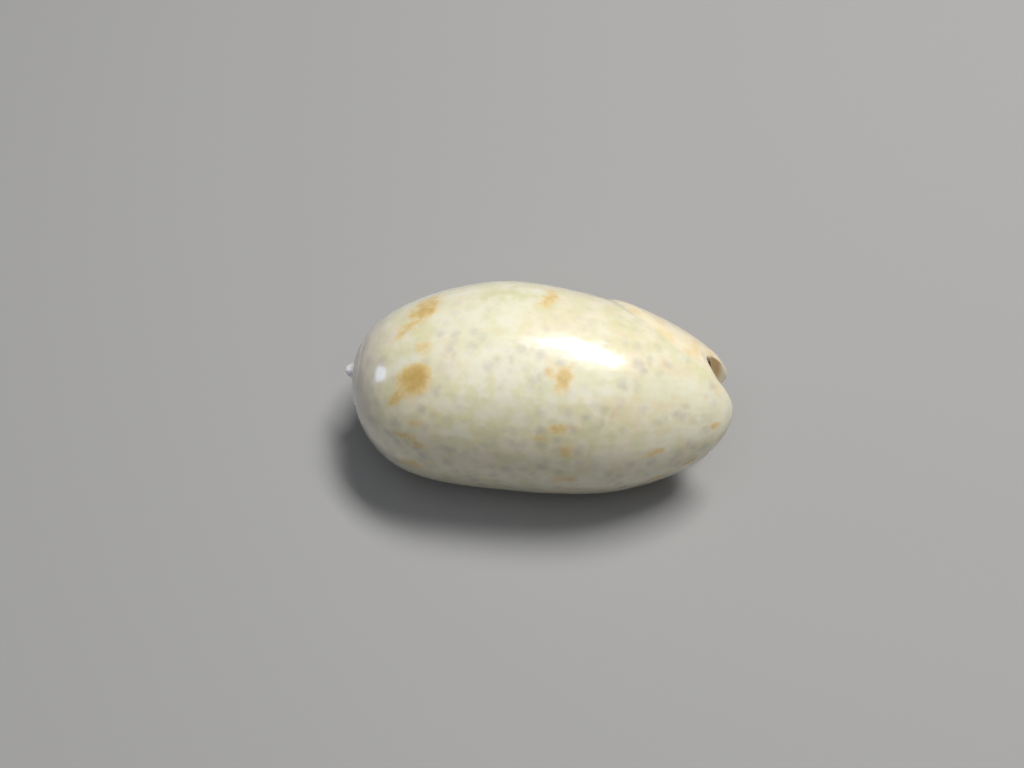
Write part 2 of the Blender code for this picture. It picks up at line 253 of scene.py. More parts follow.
def ease(start, stop, value):
    """Smooth step from 0 at start to 1 at stop."""
    share = np.clip((value - start) / (stop - start), 0.0, 1.0)
    return share * share * (3.0 - 2.0 * share)


def bell(value, spread):
    """Bell curve with height 1."""
    return np.exp(-(value / spread) ** 2)


def blend(first, second, share):
    """Mix of two values."""
    return first + (second - first) * share


def body_profile(along, back):
    """Radius of the smooth body whorl at a distance along the axis."""
    away = np.sin(math.pi * back) ** 2
    widest = blend(WIDEST_AT_LIP, WIDEST_AT_BACK, away)
    to_apex = np.clip((widest - along) / (widest - APEX_START), 0.0, 1.0)
    to_front = np.clip((along - widest) / (FRONT_POLE - widest), 0.0, 1.0)
    apex_side = to_apex ** blend(APEX_FULLNESS_LIP, APEX_FULLNESS_BACK, away)
    front_side = to_front ** blend(FRONT_FULLNESS_LIP, FRONT_FULLNESS_BACK, away)
    share = 1.0 - np.where(along < widest, apex_side, front_side)
    taper = 1.0 - FRONT_TAPER * ease(TAPER_FROM, TAPER_FULL_AT, along)
    return BODY_RADIUS * taper * np.clip(share, 0.0, 1.0) ** (1.0 / SECTION_POWER)


def lip_angle(station):
    """Angle of the outer lip around the axis, from the top towards the lip side."""
    at_apex = LIP_BACK_SWEEP * np.exp(-(station - APERTURE_FROM) / LIP_BACK_REACH)
    at_front = LIP_FRONT_SWEEP * np.clip((station - SWEEP_FROM) / SWEEP_LENGTH, 0.0, None) ** 2
    return LIP_ANGLE + at_apex - at_front


def mouth_end(station):
    """Share of a turn behind the lip at which the inner lip lies."""
    return 1.0 - MOUTH_SHORTENING * ease(WIDENING_FROM, WIDENING_TO, station)


def suture_line(back):
    """Distance along the axis of the suture, as far back as the given share of a turn."""
    start = SUTURE_AT_LIP + SUTURE_SETTLE * ease(SUTURE_LEAVES_LIP, SUTURE_FROM, back)
    return np.clip(start - SUTURE_PITCH * np.clip(back - SUTURE_FROM, 0.0, None), APEX_START, None)


def spire_relief(along, back):
    """Depth of the suture channel at a place on the spire."""
    depth = 0.0
    for turn in range(3):
        there = back + turn
        fade = ease(SUTURE_TURNS, SUTURE_TURNS - SUTURE_FADE, there)
        depth = depth + fade * bell(along - suture_line(there), SUTURE_HALF_WIDTH)
    return SUTURE_DEPTH * depth * ease(APEX_START, APEX_START + SUTURE_FULL_AFTER, along)


def band_line(back):
    """Distance along the axis at which the callused band begins."""
    return BAND_OFFSET + BAND_REACH / np.clip(back, SMALLEST_BACK, None)


def band_relief(along, back):
    """Rise of the callused band beside the siphonal end."""
    line = band_line(back)
    groove = BAND_GROOVE * bell(along - line, BAND_GROOVE_SHARE * BAND_EDGE)
    rise = ease(0.0, BAND_EDGE, along - line) - groove
    shown = ease(BAND_FROM, BAND_FULL_AT, back) * ease(BAND_UNDER, BAND_FADES_FROM, back)
    return BAND_RISE * rise * shown


def turn_radius(along, back, angle):
    """Outer radius before the wall dives towards the aperture."""
    growth = ease(GROWTH_FROM, GROWTH_FULL_AT, along) * (LIP_GROWTH - TURN_GROWTH * back)
    side = (angle - SHOULDER_ANGLE + math.pi) % TURN - math.pi
    swelling = bell(along - SHOULDER_AT, SHOULDER_SPREAD) * bell(side, SHOULDER_ARC)
    return body_profile(along, np.minimum(back, 1.0)) * (1.0 + growth) + SHOULDER_HEIGHT * swelling


def front_share(station):
    """Nearness to the siphonal end, from 0 to 1."""
    return ease(CORE_NARROWS_FROM, CORE_NARROW_AT, station)


def lip_gap(station):
    """Width of the aperture between the outer lip and the inner lip."""
    gap = blend(GAP_AT_SUTURE, GAP_AT_MIDDLE, ease(APERTURE_FROM, GAP_MIDDLE_AT, station))
    return blend(gap, GAP_AT_FRONT, ease(GAP_OPENS_FROM, GAP_OPEN_AT, station))


def wall_thickness(station, back):
    """Thickness of the wall, heavier at the lip and thin at both ends of it."""
    heavy = blend(LIP_THICKNESS, WALL_THICKNESS, ease(0.0, LIP_ARC, back))
    opening = ease(LIP_THICKENS_FROM, LIP_FULL_AT, station)
    front = ease(STATION_END - THINNING, STATION_END + THIN_AFTER, station)
    return blend(blend(EDGE_THICKNESS, heavy, opening), EDGE_THICKNESS, front)


def rim_distance(angle):
    """Distance along the axis of the siphonal rim."""
    to_lip = np.clip((angle - RIM_FAR_ANGLE) / RIM_DROP_ARC, 0.0, RIM_DROP_LIMIT)
    rim = RIM_FAR - RIM_DROP_TO_LIP * to_lip ** RIM_DROP_POWER
    rim = blend(HORN_END, rim, ease(HORN_ANGLE, HORN_TO_RIM_ANGLE, angle))
    rim = rim - HORN_DROP * ease(HORN_DROPS_FROM, HORN_DROPS_TO, angle)
    notch_arc = np.where(angle > NOTCH_ANGLE, NOTCH_LIP_ARC, NOTCH_FAR_ARC)
    return rim - NOTCH_DEPTH * bell(angle - NOTCH_ANGLE, notch_arc)


def along_axis(station, rim):
    """Place along the axis of a station once it's drawn back to the rim."""
    share = np.clip((station - RIM_BLEND_FROM) / (STATION_END - RIM_BLEND_FROM), 0.0, None)
    return np.where(station < RIM_BLEND_FROM, station, RIM_BLEND_FROM + share * (rim - RIM_BLEND_FROM))


def growth_lines(along, back):
    """Faint ripples left by the growth of the lip."""
    wave = GROWTH_LINE_WAVE * np.sin(along / GROWTH_LINE_WAVELENGTH)
    sweep = GROWTH_LINE_SWEEP * (along / FRONT_POLE) ** 2
    place = back + (wave + sweep)
    waves = [np.sin(TURN * count * place + GROWTH_LINE_SHIFT * count) for count in GROWTH_LINES]
    ripple = sum(waves) / len(GROWTH_LINES)
    return GROWTH_LINE_HEIGHT * ripple * ease(GROWTH_LINES_FROM, GROWTH_LINES_FULL_AT, along)


def outer_wall(station, back):
    """Place along the axis, radius and angle on the outside of the shell."""
    angle = lip_angle(station) - TURN * back
    along = along_axis(station, rim_distance(angle))
    radius = turn_radius(along, back, angle)
    lip_radius = turn_radius(along, np.zeros_like(back), angle)
    end = mouth_end(station)
    inner_lip = lip_radius - wall_thickness(station, np.zeros_like(back)) - lip_gap(station)
    inner_lip = blend(inner_lip, CORE_AT_FRONT, front_share(station))
    open_share = ease(APERTURE_FROM - MOUTH_OPENS_OVER, APERTURE_FROM, station)
    dive_from = end - blend(DIVE_AT_SUTURE, DIVE, ease(APERTURE_FROM, DIVE_FULL_AT, station))
    dive = (turn_radius(along, end, angle) - inner_lip) * ease(dive_from, end + DIVE_ENDS_AFTER, back)
    radius = radius - open_share * dive
    radius = radius + band_relief(along, back) - spire_relief(along, back)
    rounding = blend(RIM_ROUNDING, HORN_ROUNDING, ease(HORN_ROUNDING_ANGLE, HORN_ROUND_ANGLE, angle))
    radius = radius - rounding * ease(STATION_END - ROUNDING_LENGTH, STATION_END, station) ** 2
    radius = radius + fold_relief(along, station, back) + growth_lines(along, back)
    return along, radius, angle


def fold_relief(along, station, back):
    """Height of the folds on the inner lip."""
    height = blend(FOLD_BACK_HEIGHT, FOLD_FRONT_HEIGHT, ease(FOLD_FROM, FOLD_FULL_AT, along))
    lean = FOLD_SLANT * (back - mouth_end(station))
    wave = np.cos(TURN * (along - FOLD_FROM + lean) / FOLD_SPACING)
    reach = bell(back - mouth_end(station) + FOLD_SHIFT, FOLD_ARC)
    back_end = ease(FOLD_FROM - FOLD_FADE, FOLD_FROM + FOLD_FADE, along)
    front_end = ease(FOLD_END, FOLD_FADES_FROM, along)
    return height * wave * reach * (back_end * front_end)


def ceiling(station, back):
    """Inside face of the wall that covers the aperture."""
    along, radius, angle = outer_wall(station, back)
    return along, radius - wall_thickness(station, back), angle


def floor_wall(station, back):
    """Wall of the inner turn below the aperture."""
    _, top_radius, angle = ceiling(station, back - 1.0)
    end = mouth_end(station)
    front = ease(WIDENING_FROM, WIDENING_TO, station)
    narrowed = GAP_INSIDE_SHARE * ease(end, end + GAP_INSIDE_ARC, back) * (1.0 - front)
    inside_gap = blend(lip_gap(station), GAP_INSIDE, narrowed)
    outer = outer_wall(station, np.minimum(back, 1.0))
    share = ease(end, FLOOR_MEETS_TURN, back)
    radius = blend(outer[1], top_radius - inside_gap, share)
    radius = np.maximum(blend(radius, CORE_AT_FRONT, front_share(station)), CORE_MINIMUM)
    mouth_rim = rim_distance(lip_angle(station) - TURN * end)
    rim = blend(mouth_rim, FLOOR_END, ease(end, end + FLOOR_END_ARC, back))
    return along_axis(station, rim), radius, angle


def cavity_depth(station):
    """Share of a turn that the open cavity runs back from the lip."""
    depth = blend(CAVITY_DEPTH_AT_SUTURE, CAVITY_DEPTH, ease(APERTURE_FROM, CAVITY_FULL_AT, station))
    return blend(depth, CAVITY_DEPTH_AT_FRONT, ease(CAVITY_SHORTENS_FROM, CAVITY_SHORT_AT, station))


def half_round(first, last, direction, points):
    """Points on a half circle from one polar point to another, bulging around the axis."""
    share = np.arange(1, points + 1) / (points + 1)
    along, radius_mid, angle = (blend(a, b, share) for a, b in zip(first, last))
    half = 0.5 * (last[1] - first[1])
    middle = 0.5 * (first[1] + last[1])
    radius = middle - half * np.cos(math.pi * share)
    side = direction * abs(half) * np.sin(math.pi * share) / middle
    return along, radius, angle + side


def section(station):
    """Section through the aperture as rows of (along, radius, angle, back, inside)."""
    end = float(mouth_end(station))
    depth = float(cavity_depth(station))
    parts = []
    back = np.linspace(0.0, end, OUTER_POINTS)
    outside = outer_wall(np.full(OUTER_POINTS, station), back)
    parts.append((*outside, back, np.zeros(OUTER_POINTS)))
    back = np.linspace(end, 1.0 + depth, FLOOR_POINTS + 1)[1:]
    below = floor_wall(np.full(FLOOR_POINTS, station), back)
    parts.append((*below, back, ease(end - LINING_BEFORE, end + LINING_AFTER, back)))
    back = np.linspace(depth, 0.0, CEILING_POINTS)
    above = ceiling(np.full(CEILING_POINTS, station), back)
    last_below = tuple(values[-1] for values in below)
    deep = half_round(last_below, tuple(values[0] for values in above), -1.0, ARC_POINTS)
    parts.append((*deep, np.full(ARC_POINTS, 1.0 + depth), np.ones(ARC_POINTS)))
    parts.append((*above, back, np.ones(CEILING_POINTS)))
    first_outside = tuple(values[0] for values in outside)
    edge = half_round(tuple(values[-1] for values in above), first_outside, 1.0, ARC_POINTS)
    edge_share = np.arange(1, ARC_POINTS + 1) / (ARC_POINTS + 1)
    parts.append((*edge, np.zeros(ARC_POINTS), 1.0 - edge_share))
    return np.concatenate([np.stack(part, axis=1) for part in parts])


def spire_ring(station):
    """Closed ring around the spire."""
    back = np.arange(OUTER_POINTS) / OUTER_POINTS
    ring = outer_wall(np.full(OUTER_POINTS, station), back)
    return np.stack((*ring, back, np.zeros(OUTER_POINTS)), axis=1)


def nipple_ring(turn):
    """Ring on the dome of the nipple."""
    back = np.arange(OUTER_POINTS) / OUTER_POINTS
    along = np.full(OUTER_POINTS, NIPPLE_END * APEX_START * (1.0 - math.cos(turn)))
    skirt = NIPPLE_SKIRT * (turn / (0.5 * math.pi)) ** NIPPLE_SKIRT_POWER
    radius = np.full(OUTER_POINTS, NIPPLE_RADIUS * math.sin(turn) ** NIPPLE_BLUNTNESS + skirt)
    angle = float(lip_angle(0.0)) - TURN * back
    return np.stack((along, radius, angle, back, np.zeros(OUTER_POINTS)), axis=1)


def shell_rows():
    """All closed rings and all open sections, from the apex to the siphonal end."""
    closed = [nipple_ring(0.5 * math.pi * step / NIPPLE_RINGS) for step in range(1, NIPPLE_RINGS + 1)]
    spire_end = APERTURE_FROM - SPIRE_END_MARGIN
    share = (np.arange(1, SPIRE_RINGS + 1) / SPIRE_RINGS) ** SPIRE_RING_POWER
    spire_start = APEX_START + SPIRE_START_MARGIN
    closed += [spire_ring(spire_start + value * (spire_end - spire_start)) for value in share]
    near = np.arange(APERTURE_FROM, NEAR_END, NEAR_STEP)
    tail_start = STATION_END - TAIL_LENGTH
    count = int((tail_start - near[-1]) / STATION_STEP)
    body = np.linspace(near[-1], tail_start, count)[1:]
    turns = np.arange(1, TAIL_STATIONS + 1) / TAIL_STATIONS
    tail = STATION_END - TAIL_LENGTH * np.cos(0.5 * math.pi * turns)
    opened = [section(float(station)) for station in list(near) + list(body) + list(tail)]
    return closed, opened


def strip(first, second, count):
    """Quads between two closed rows of vertex numbers."""
    quads = []
    for i in range(count):
        after = (i + 1) % count
        quads.append((first + i, first + after, second + after, second + i))
    return quads


def shell_faces(closed, opened):
    """Faces of the whole shell, as lists of vertex numbers."""
    faces = []
    ring = OUTER_POINTS
    wide = len(opened[0])
    start = [index * ring for index in range(len(closed))]
    start_open = len(closed) * ring
    opens = [start_open + index * wide for index in range(len(opened))]
    total = start_open + len(opened) * wide
    tip = total
    for i in range(ring):
        faces.append((tip, start[0] + (i + 1) % ring, start[0] + i))
    for first, second in zip(start, start[1:]):
        faces += strip(second, first, ring)
    first, last = opens[0], start[-1]
    faces += [(first + i, first + i + 1, last + i + 1, last + i) for i in range(ring - 1)]
    faces.append((opens[0] + ring - 1, opens[0], start[-1], start[-1] + ring - 1))
    faces.append([opens[0]] + [opens[0] + i for i in range(wide - 1, ring - 2, -1)])
    for first, second in zip(opens, opens[1:]):
        faces += strip(second, first, wide)
    faces += front_faces(opens[-1], total + 1)
    return faces


def front_faces(last, first_inner):
    """Rim of the siphonal end, and the end of the columella with its horn."""
    ceiling_from = OUTER_POINTS + FLOOR_POINTS + ARC_POINTS
    ceiling_last = ceiling_from + CEILING_POINTS - 1
    wide = ceiling_last + 1 + ARC_POINTS
    depth = float(cavity_depth(STATION_END))
    split = int(round(depth / float(mouth_end(STATION_END)) * (OUTER_POINTS - 1)))
    faces = []
    edge = [last + i for i in range(ceiling_last + 1, wide)]
    faces.append([last] + edge[::-1] + [last + ceiling_last])
    for i in range(split):
        low = round(i * (CEILING_POINTS - 1) / split)
        high = round((i + 1) * (CEILING_POINTS - 1) / split)
        corner = [last + i + 1, last + i, last + ceiling_last - low]
        faces.append(corner + ([last + ceiling_last - high] if high > low else []))
    core = [last + i for i in range(split, ceiling_from + 1)]
    count = len(core)
    for ring in range(HORN_RINGS):
        inner = [first_inner + ring * count + i for i in range(count)]
        for i in range(count):
            after = (i + 1) % count
            faces.append((core[after], core[i], inner[i], inner[after]))
        core = inner
    for first, second in zip(core, core[1:] + core[:1]):
        faces.append((second, first, first_inner + HORN_RINGS * count))
    return faces


def horn_points(points):
    """Rings across the columella's end, from its rounded rim to its middle."""
    depth = float(cavity_depth(STATION_END))
    split = int(round(depth / float(mouth_end(STATION_END)) * (OUTER_POINTS - 1)))
    core = points[split:OUTER_POINTS + FLOOR_POINTS + ARC_POINTS + 1]
    middle = core.mean(axis=0)
    middle[0] = HORN_MIDDLE
    rings = []
    for ring in range(1, HORN_RINGS + 1):
        share = (ring / (HORN_RINGS + 1)) ** HORN_RING_POWER
        inner = blend(core, middle, share)
        drop = ease(HORN_RIM_SHARE, 1.0, share)
        crown = HORN_CROWN * bell(share - HORN_CROWN_AT, HORN_CROWN_SPREAD) * (1.0 - drop)
        inner[:, 0] = blend(core[:, 0], HORN_MIDDLE, drop) + crown
        brown = ease(HORN_BROWN_FROM, HORN_BROWN_FULL_AT, inner[:, 0])
        rings.append(np.column_stack((inner, brown)))
    return np.concatenate(rings + [np.append(middle, 1.0)[None]])


def to_xyz(rows):
    """Axis frame to X, Y, Z with the apex at -X."""
    along, radius, angle = rows[:, 0], rows[:, 1], rows[:, 2]
    return np.stack((along, -radius * np.sin(angle), radius * np.cos(angle)), axis=1)


def rest_turn():
    """Rotation that lays the shell down on its flats."""
    return Matrix.Rotation(REST_ROLL, 3, "X") @ Matrix.Rotation(REST_PITCH, 3, "Y")


# Orange-brown blotches: place along the axis in mm, share of a turn behind the lip,
# half length in mm, half height in mm of arc, slant, strength
BLOTCHES = (
    # row below the suture, on the side that the photograph shows
    # part real blotch, part painted highlight: drawn paler where the key light falls on it
    (8.1, 0.455, 1.75, 2.90, 0.00, 0.80),
    (7.0, 0.415, 0.90, 1.50, 0.55, 0.60),
    (8.4, 0.308, 1.70, 1.70, 0.00, 1.10),
    (8.9, 0.362, 1.00, 1.10, 0.00, 0.45),
    (7.2, 0.283, 0.90, 1.20, 0.50, 0.70),
    (8.9, 0.239, 0.80, 0.50, 0.00, 0.50),
    (7.8, 0.213, 1.60, 0.50, 0.00, 0.60),
    (9.4, 0.200, 1.00, 0.45, 0.00, 0.60),
    (8.6, 0.150, 1.60, 0.80, 0.00, 0.60),
    (8.2, 0.085, 1.60, 1.00, 0.30, 0.75),
    (7.8, 0.025, 1.40, 0.80, 0.00, 0.70),
    # the same row on the hidden side
    (8.2, 0.600, 1.60, 3.00, 0.10, 1.00),
    (6.8, 0.560, 1.20, 1.30, 0.50, 0.75),
    (8.0, 0.715, 1.70, 1.90, 0.20, 0.95),
    (7.6, 0.815, 1.40, 1.60, 0.20, 0.75),
    # row across the middle
    (20.0, 0.468, 0.90, 2.00, 0.10, 0.70),
    (22.2, 0.322, 0.90, 1.40, 0.00, 0.80),
    (21.0, 0.330, 0.90, 1.00, 0.00, 0.45),
    (22.2, 0.249, 1.30, 0.60, 0.00, 0.65),
    (20.4, 0.233, 0.90, 0.50, 0.00, 0.35),
    (23.2, 0.212, 0.90, 0.80, 0.00, 0.48),
    (23.0, 0.152, 1.20, 0.60, 0.00, 0.60),
    (22.4, 0.080, 1.30, 1.10, 0.20, 0.75),
    (19.2, 0.620, 1.20, 2.10, 0.20, 0.90),
    (18.8, 0.745, 1.40, 1.50, 0.20, 0.80),
    # smaller ones towards the siphonal end
    (31.2, 0.184, 1.20, 0.60, 0.00, 0.55),
    (32.4, 0.095, 1.30, 0.70, 0.20, 0.65),
    (37.0, 0.200, 0.70, 0.80, 0.00, 0.60),
    (37.8, 0.130, 0.60, 1.60, 0.00, 0.95),
    (34.8, 0.105, 1.00, 0.80, 0.00, 0.75),
)
BLOTCH_POWER = 2.3
BLOTCH_CORE = 0.30
BLOTCH_REACH = 1.50


def blotch_strength(along, back):
    """Strength of the orange-brown blotches at each place."""
    strength = np.zeros_like(along)
    for at, turn, half_along, half_arc, slant, power in BLOTCHES:
        arc = (back - turn) * ARC_SCALE
        across, up = np.abs((along / MM - at - slant * arc) / half_along), np.abs(arc / half_arc)
        reach = (across ** BLOTCH_POWER + up ** BLOTCH_POWER) ** (1.0 / BLOTCH_POWER)
        strength = np.maximum(strength, power * (1.0 - ease(BLOTCH_CORE, BLOTCH_REACH, reach)))
    return strength


def build_shell():
    """The fine shell mesh, with what its material needs as attributes."""
    closed, opened = shell_rows()
    rows = np.concatenate(closed + opened)
    points = to_xyz(rows)
    horn = horn_points(to_xyz(opened[-1]))
    faces = shell_faces(closed, opened)
    blank = np.zeros(len(horn))
    horn_rows = np.stack((horn[:, 0], blank, blank, blank + HORN_BACK, horn[:, 3]), axis=1)
    rows = np.concatenate([rows, np.zeros((1, rows.shape[1])), horn_rows])
    points = np.concatenate([points, np.zeros((1, 3)), horn[:, :3]])
    places = points / MM
    points = points @ np.array(rest_turn()).T
    low, high = (np.array(corner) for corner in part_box(NODE))
    middle = 0.5 * (points[:, :2].min(axis=0) + points[:, :2].max(axis=0))
    offset = np.append(0.5 * (low[:2] + high[:2]) - middle, high[2] - points[:, 2].max())
    points = points + offset
    points[:, 2] = np.maximum(points[:, 2], low[2])
    mesh = bpy.data.meshes.new("shell_surface")
    mesh.from_pydata(points.tolist(), [], faces)
    mesh.update()
    mesh.shade_smooth()
    band = ease(BAND_TINT_FROM, BAND_TINT_FULL_AT, rows[:, 0] - band_line(rows[:, 3]))
    band = band * ease(BAND_FROM, BAND_FULL_AT, rows[:, 3])
    values = {
        "along_mm": rows[:, 0] / MM,
        "inside": rows[:, 4],
        "band": band,
        "blotch": blotch_strength(rows[:, 0], rows[:, 3]),
        # painted highlight: 0 on the near side, rising to 1 from the lit top onwards
        "painted_highlight_fade": ease(*PAINTED_HIGHLIGHT_EDGE, rows[:, 3]),
    }
    for name, numbers in values.items():
        layer = mesh.attributes.new(name, "FLOAT", "POINT")
        layer.data.foreach_set("value", numbers.astype(np.float32))
    layer = mesh.attributes.new("place_mm", "FLOAT_VECTOR", "POINT")
    layer.data.foreach_set("vector", places.astype(np.float32).ravel())
    return mesh, offset


class Nodes:
    """Short hand for building a node tree."""

    def __init__(self, tree):
        self.tree = tree

    def add(self, kind, inputs=(), **settings):
        """A node with its settings, and its inputs as numbers or links."""
        item = self.tree.nodes.new(kind)
        for name, value in settings.items():
            setattr(item, name, value)
        for name, value in dict(inputs).items():
            if isinstance(value, bpy.types.NodeSocket):
                self.tree.links.new(value, item.inputs[name])
            else:
                item.inputs[name].default_value = value
        return item

    def attribute(self, name):
        """A float attribute of the mesh."""
        return self.add("ShaderNodeAttribute", attribute_name=name).outputs["Fac"]

    def math(self, operation, first, second=0.0, third=0.0):
        """A math node."""
        inputs = {0: first, 1: second, 2: third}
        return self.add("ShaderNodeMath", inputs, operation=operation).outputs[0]

    def ramp(self, value, start, stop, low=0.0, high=1.0):
        """A value eased from low to high."""
        inputs = {"Value": value, "From Min": start, "From Max": stop, "To Min": low, "To Max": high}
        item = self.add("ShaderNodeMapRange", inputs, interpolation_type="SMOOTHSTEP")
        return item.outputs["Result"]

    def noise(self, vector, scale, detail=2.0, roughness=0.5):
        """A noise value around 0.5."""
        inputs = {"Vector": vector, "Scale": scale, "Detail": detail, "Roughness": roughness}
        return self.add("ShaderNodeTexNoise", inputs, noise_dimensions="3D").outputs["Fac"]

    def mix(self, share, first, second):
        """A mix of two colours."""
        item = self.add("ShaderNodeMix", data_type="RGBA", clamp_factor=True)
        for index, value in ((0, share), (6, first), (7, second)):
            if isinstance(value, bpy.types.NodeSocket):
                self.tree.links.new(value, item.inputs[index])
            elif index == 0:
                item.inputs[index].default_value = value
            else:
                item.inputs[index].default_value = (*value, 1.0)
        return item.outputs[2]


# Colours of the shell, linear
CREAM = (0.82, 0.80, 0.64)
WARM_CREAM = (0.85, 0.78, 0.60)
OLIVE_YELLOW = (0.74, 0.72, 0.46)
GREY_VIOLET = (0.45, 0.42, 0.41)
TAN = (0.79, 0.67, 0.43)
ORANGE = (0.83, 0.62, 0.27)
BROWN = (0.58, 0.39, 0.12)
CALLUS = (0.68, 0.61, 0.51)
CALLUS_GREY = (0.55, 0.49, 0.43)
BAND_CREAM = (0.86, 0.77, 0.56)
BAND_ORANGE = (0.84, 0.66, 0.38)
PORCELAIN = (0.80, 0.77, 0.71)
THROAT = (0.58, 0.37, 0.12)
NIPPLE_WHITE = (0.82, 0.80, 0.80)
RIM_CREAM = (0.86, 0.82, 0.62)

# Constant settings of the glossy glaze
GLAZE = {
    "IOR": 1.55,
    "Coat Weight": 0.6,
    "Coat Roughness": 0.07,
    "Subsurface Weight": 0.08,
    "Subsurface Radius": (0.0012, 0.0009, 0.0006),
    "Subsurface Scale": 1.0,
}
BUMP_DEPTH = 0.06 * MM

# Places along the axis, in mm, between which one colour gives way to another
NIPPLE_EDGE_MM = (1.1, 0.8)
CALLUS_EDGE_MM = (7.2, 3.6)
CLOUDS_MM = (16.0, 30.0)
THROAT_MM = (28.0, 31.5)
RIM_GLAZE_MM = (36.6, 38.0)


def shell_material():
    """Glossy cream shell with olive mottling, small grey dots and orange-brown blotches."""
    material = bpy.data.materials.new("glossy_shell")
    material.use_nodes = True
    n = Nodes(material.node_tree)
    surface = material.node_tree.nodes["Principled BSDF"]
    along, inside = n.attribute("along_mm"), n.attribute("inside")
    band, blotch = n.attribute("band"), n.attribute("blotch")
    place = n.add("ShaderNodeAttribute", attribute_name="place_mm").outputs["Vector"]

    # the ground: cream, warmer in wide soft patches, with olive-yellow mottling
    wide = n.noise(place, scale=0.16, detail=2.0)
    ground = n.mix(n.ramp(wide, 0.38, 0.62), CREAM, WARM_CREAM)
    mottle = n.noise(place, scale=0.62, detail=3.0, roughness=0.6)
    cover = n.noise(place, scale=0.12, detail=1.0)
    amount = n.math("MULTIPLY", n.ramp(mottle, 0.38, 0.64), n.ramp(cover, 0.30, 0.62, 0.40, 0.95))
    ground = n.mix(amount, ground, OLIVE_YELLOW)

    # tan clouds, more of them towards the siphonal end
    clouds = n.ramp(n.noise(place, scale=0.42, detail=3.0, roughness=0.6), 0.46, 0.68)
    tan = n.math("MULTIPLY", clouds, n.ramp(along, *CLOUDS_MM, 0.12, 0.55))
    ground = n.mix(tan, ground, TAN)

    # small soft grey-violet dots
    shake = n.add("ShaderNodeTexNoise", {"Vector": place, "Scale": 0.9, "Detail": 1.0}).outputs["Color"]
    shaken = {0: shake, 1: (0.9, 0.9, 0.9), 2: place}
    moved = n.add("ShaderNodeVectorMath", shaken, operation="MULTIPLY_ADD").outputs[0]
    cells = n.add("ShaderNodeTexVoronoi", {"Vector": moved, "Scale": 0.74, "Randomness": 0.85})
    dots = n.ramp(cells.outputs["Distance"], 0.64, 0.04)
    keep = n.ramp(n.noise(place, scale=0.33, detail=2.0), 0.36, 0.58, 0.08, 0.42)
    # painted highlight: the dots are faded to about a third over the lit top and beyond it
    seen = n.math("MULTIPLY", keep, n.ramp(n.attribute("painted_highlight_fade"), 0.0, 1.0, 1.0, 0.35))
    ground = n.mix(n.math("MULTIPLY", dots, seen), ground, GREY_VIOLET)

    # orange-brown blotches with ragged edges
    ragged = n.noise(place, scale=0.72, detail=4.0, roughness=0.62)
    edge = n.math("MULTIPLY_ADD", n.math("SUBTRACT", ragged, 0.5), 1.6, blotch)
    ground = n.mix(n.ramp(edge, 0.05, 0.85, 0.0, 0.85), ground, ORANGE)
    ground = n.mix(n.ramp(edge, 0.35, 1.30, 0.0, 0.90), ground, BROWN)

    # the callused band beside the siphonal end
    patches = n.ramp(n.noise(place, scale=0.45, detail=3.0), 0.42, 0.66)
    band_tone = n.mix(patches, BAND_CREAM, BAND_ORANGE)
    ground = n.mix(n.math("MULTIPLY", band, 0.92), ground, band_tone)

    # the callused spire and the nipple
    spire_edge = n.math("MULTIPLY_ADD", n.noise(place, scale=0.35, detail=2.0), 3.0, along)
    spire = n.ramp(spire_edge, *CALLUS_EDGE_MM)
    patches = n.ramp(n.noise(place, scale=0.55, detail=3.0), 0.40, 0.66)
    spire_tone = n.mix(patches, CALLUS, CALLUS_GREY)
    ground = n.mix(n.math("MULTIPLY", spire, 0.85), ground, spire_tone)
    ground = n.mix(n.ramp(along, *NIPPLE_EDGE_MM), ground, NIPPLE_WHITE)

    # cream rim of the siphonal end
    rim_glaze = n.ramp(along, *RIM_GLAZE_MM)
    ground = n.mix(n.math("MULTIPLY", rim_glaze, 0.6), ground, RIM_CREAM)

    # porcelain inside the aperture, brown deep in the siphonal end
    throat = n.ramp(along, *THROAT_MM)
    lining = n.mix(n.math("MULTIPLY", throat, 0.95), PORCELAIN, THROAT)
    colour = n.mix(inside, ground, lining)

    # gloss, with a faint unevenness of the glaze
    fine = n.noise(place, scale=2.4, detail=3.0)
    rough = n.ramp(fine, 0.3, 0.7, 0.16, 0.26)
    coarse = n.noise(place, scale=0.7, detail=2.0)
    soft = n.math("MULTIPLY_ADD", coarse, 0.8, n.math("MULTIPLY", fine, 0.2))
    bump = n.add("ShaderNodeBump", {"Strength": 0.25, "Distance": BUMP_DEPTH, "Height": soft})
    links = material.node_tree.links
    links.new(colour, surface.inputs["Base Color"])
    links.new(rough, surface.inputs["Roughness"])
    links.new(bump.outputs["Normal"], surface.inputs["Normal"])
    for name, value in GLAZE.items():
        surface.inputs[name].default_value = value
    return material


# Floor and fill light
FLOOR_HALF = 1.2
FLOOR_GREY = (0.34, 0.34, 0.34)
FILL_COLOUR = (0.93, 0.96, 1.0)
FILL_STRENGTH = 0.014


def floor_material():
    """Plain pale matt floor."""
    material = bpy.data.materials.new("pale_floor")
    material.use_nodes = True
    surface = material.node_tree.nodes["Principled BSDF"]
    surface.inputs["Base Color"].default_value = (*FLOOR_GREY, 1.0)
    surface.inputs["Roughness"].default_value = 0.75
    surface.inputs["Specular IOR Level"].default_value = 0.25
    return material


def add_floor():
    """Wide floor at the height that the shell rests on."""
    mesh = bpy.data.meshes.new("floor")
    signs = ((-1.0, -1.0), (1.0, -1.0), (1.0, 1.0), (-1.0, 1.0))
    corners = [(side * FLOOR_HALF, front * FLOOR_HALF, 0.0) for side, front in signs]
    mesh.from_pydata(corners, [], [(0, 1, 2, 3)])
    item = bpy.data.objects.new("floor", mesh)
    mesh.materials.append(floor_material())
    bpy.context.scene.collection.objects.link(item)


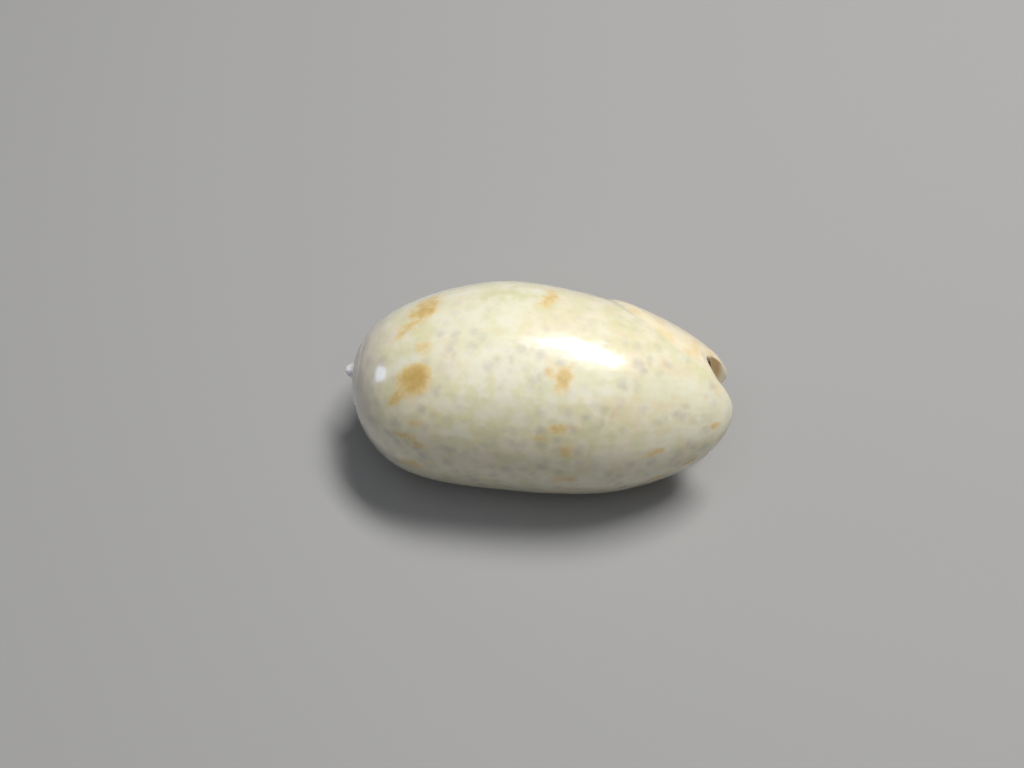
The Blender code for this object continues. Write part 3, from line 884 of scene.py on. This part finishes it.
# Lights: name, shape, azimuth and elevation, distance, size, power, colour
LIGHTS = (
    ("key", "RECTANGLE", (49.0, 67.8), 0.45, (0.205, 0.10), 2.15, (1.0, 0.98, 0.95)),
    ("overhead", "RECTANGLE", (272.0, 73.0), 0.80, (0.80, 0.80), 1.9, (0.96, 0.98, 1.0)),
    ("side", "ELLIPSE", (178.0, 9.5), 0.60, (0.15, 0.15), 0.26, (0.60, 0.70, 1.0)),
)
LIT_HEIGHT = 0.01


def add_area_light(name, shape, direction, distance, size, power, colour):
    """Soft light at a direction (azimuth from +X, elevation) from the shell, aimed at it."""
    azimuth, elevation = (math.radians(value) for value in direction)
    level = math.cos(elevation)
    ray = Vector((math.cos(azimuth) * level, math.sin(azimuth) * level, math.sin(elevation)))
    lamp = bpy.data.lights.new(name, "AREA")
    lamp.shape = shape
    lamp.size, lamp.size_y = size
    lamp.energy = power
    lamp.color = colour
    item = bpy.data.objects.new(name, lamp)
    item.location = Vector((0.0, 0.0, LIT_HEIGHT)) + ray * distance
    item.rotation_euler = (-ray).to_track_quat("-Z", "Y").to_euler()
    bpy.context.scene.collection.objects.link(item)


def add_world():
    """Even dim fill light."""
    world = bpy.data.worlds.new("studio")
    world.use_nodes = True
    background = world.node_tree.nodes["Background"]
    background.inputs["Color"].default_value = (*FILL_COLOUR, 1.0)
    background.inputs["Strength"].default_value = FILL_STRENGTH
    bpy.context.scene.world = world
    bpy.context.scene.view_settings.view_transform = "Standard"


def add_camera(target):
    """Camera at the photograph's angle, framed as the photograph is."""
    lens = bpy.data.cameras.new("camera")
    lens.lens = LENS
    lens.sensor_width = SENSOR
    lens.clip_start = 0.001
    lens.clip_end = 10.0
    lens.shift_x = (0.5 * PICTURE_WIDTH - AIM_PIXEL[0]) / PICTURE_WIDTH
    lens.shift_y = (AIM_PIXEL[1] - 0.5 * PICTURE_HEIGHT) / PICTURE_WIDTH
    item = bpy.data.objects.new("camera", lens)
    level = math.cos(CAMERA_ELEVATION)
    side, front = math.sin(CAMERA_AZIMUTH), -math.cos(CAMERA_AZIMUTH)
    ray = Vector((side * level, front * level, math.sin(CAMERA_ELEVATION)))
    item.location = target + ray * CAMERA_DISTANCE
    item.rotation_euler = (-ray).to_track_quat("-Z", "Y").to_euler()
    bpy.context.scene.collection.objects.link(item)
    bpy.context.scene.camera = item


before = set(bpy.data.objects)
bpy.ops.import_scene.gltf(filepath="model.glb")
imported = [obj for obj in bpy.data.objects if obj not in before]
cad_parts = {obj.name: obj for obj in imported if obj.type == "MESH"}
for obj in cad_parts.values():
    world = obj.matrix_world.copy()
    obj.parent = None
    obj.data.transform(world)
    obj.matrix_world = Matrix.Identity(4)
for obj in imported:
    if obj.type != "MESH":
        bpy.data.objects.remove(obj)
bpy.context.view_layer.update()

surface_mesh, surface_offset = build_shell()
aim = rest_turn() @ Vector((AIM_ALONG, 0.0, 0.0)) + Vector(surface_offset)
add_camera(aim)

shell = bpy.data.objects.new("shell_surface", surface_mesh)
shell.data.materials.append(shell_material())
bpy.context.scene.collection.objects.link(shell)
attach(shell, "root")
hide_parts(NODE)

add_floor()
add_world()
for light in LIGHTS:
    add_area_light(*light)
